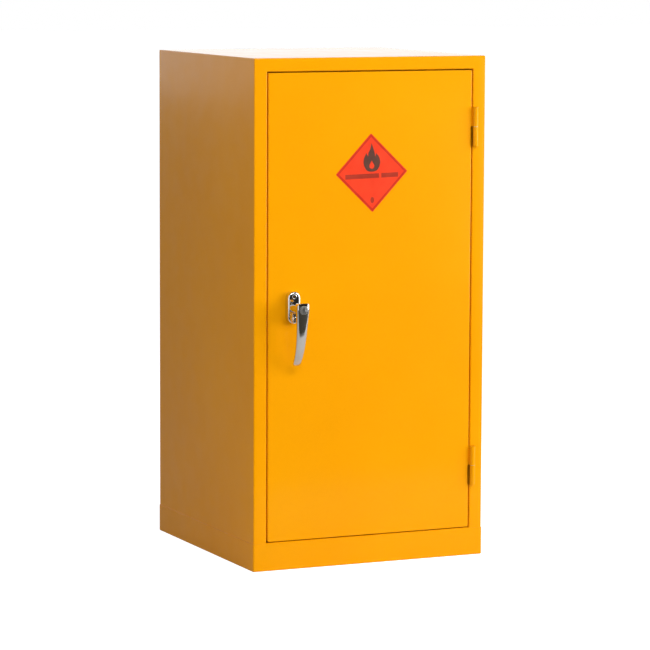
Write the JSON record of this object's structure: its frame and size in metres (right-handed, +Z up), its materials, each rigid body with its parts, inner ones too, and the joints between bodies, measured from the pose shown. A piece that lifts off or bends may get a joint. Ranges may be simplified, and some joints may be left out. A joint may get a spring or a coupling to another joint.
{
  "type": "flammable storage cabinet",
  "caption": "Free-standing sheet-steel cabinet with a sump base, a hinged door with an L-handle and key lock, cam-driven locking rods and removable shelf trays.",
  "frame": {"origin": "middle of the base pan's underside, on the floor", "axes": "+Z up; -Y out of the door's face; +X towards the door's hinges"},
  "size_m": [0.457, 0.5106, 0.915],
  "materials": {
    "amber_paint": "smooth semi-gloss powder coat",
    "zinc_plate": "bright zinc plate",
    "bright_chrome": "polished chrome plate",
    "lock_nickel": "nickel plate",
    "black_rubber": "matte",
    "nylon": "matte natural nylon",
    "label_vinyl": "printed vinyl"
  },
  "bodies": {
    "carcass": {"base_pan": "amber_paint", "left_side_panel": "amber_paint", "right_side_panel": "amber_paint", "back_panel": "amber_paint", "top_panel": "amber_paint", "front_sill": "amber_paint", "door_buffers": "black_rubber", "front_left_upright": "amber_paint", "rear_left_upright": "amber_paint", "front_right_upright": "amber_paint", "rear_right_upright": "amber_paint", "upper_shelf_clips": "zinc_plate", "lower_shelf_clips": "zinc_plate", "upper_hinge_frame_leaf": "amber_paint", "lower_hinge_frame_leaf": "amber_paint", "upper_hinge_pin": "zinc_plate", "lower_hinge_pin": "zinc_plate", "upper_hinge_washer": "zinc_plate", "lower_hinge_washer": "zinc_plate"},
    "door": {"door_skin": "amber_paint", "door_top_channel": "amber_paint", "door_bottom_channel": "amber_paint", "door_stiffener": "amber_paint", "hazard_label": "label_vinyl", "lock_bracket": "zinc_plate", "spindle_bush": "nylon", "handle_escutcheon": "bright_chrome", "escutcheon_screws": "bright_chrome", "escutcheon_nuts": "zinc_plate", "upper_hinge_door_leaf": "amber_paint", "lower_hinge_door_leaf": "amber_paint", "upper_guide_bracket": "zinc_plate", "lower_guide_bracket": "zinc_plate", "upper_guide_bush": "nylon", "lower_guide_bush": "nylon"},
    "handle": {"handle_lever": "bright_chrome", "retaining_ring": "zinc_plate", "spindle": "zinc_plate", "cam_plate": "zinc_plate", "cam_washer": "zinc_plate", "cam_screw": "zinc_plate", "lock_cylinder": "lock_nickel"},
    "plug": {"lock_plug": "lock_nickel"},
    "bolt": {"lock_bolt": "zinc_plate"},
    "top_rod": {"upper_locking_rod": "zinc_plate", "upper_rod_pin": "zinc_plate"},
    "bottom_rod": {"lower_locking_rod": "zinc_plate", "lower_rod_pin": "zinc_plate"},
    "upper_tray": {"upper_shelf": "amber_paint"},
    "lower_tray": {"lower_shelf": "amber_paint"}
  },
  "joints": [
    {"name": "door_hinge", "type": "hinge", "parent": "carcass", "child": "door", "pos_m": [0.2065, -0.231, 0.475], "axis": [0, 0, 1], "range_deg": [0, 180]},
    {"name": "lever_turn", "type": "hinge", "parent": "door", "child": "handle", "pos_m": [-0.1546, -0.235, 0.4732], "axis": [0, -1, 0], "range_deg": [0, 90]},
    {"name": "top_rod_slide", "type": "slide", "parent": "door", "child": "top_rod", "axis": [0, 0, 1], "range_m": [0, 0.0151]},
    {"name": "bottom_rod_slide", "type": "slide", "parent": "door", "child": "bottom_rod", "axis": [0, 0, -1], "range_m": [0, 0.0151]},
    {"name": "lock_turn", "type": "hinge", "parent": "handle", "child": "plug", "pos_m": [-0.1546, -0.26, 0.4732], "axis": [0, 1, 0], "range_deg": [0, 90]},
    {"name": "bolt_slide", "type": "slide", "parent": "handle", "child": "bolt", "axis": [0, 0, -1], "range_m": [0, 0.00241]},
    {"name": "upper_shelf_lift", "type": "slide", "parent": "carcass", "child": "upper_tray", "axis": [0, 0, 1], "range_m": [0, 0.1]},
    {"name": "lower_shelf_lift", "type": "slide", "parent": "carcass", "child": "lower_tray", "axis": [0, 0, 1], "range_m": [0, 0.1]}
  ],
  "couplings": [
    {"joint": "top_rod_slide", "follows": "lever_turn", "m_per_rad": 0.0095493},
    {"joint": "bottom_rod_slide", "follows": "lever_turn", "m_per_rad": 0.0095493},
    {"joint": "bolt_slide", "follows": "lock_turn", "m_per_rad": 0.0015279}
  ]
}
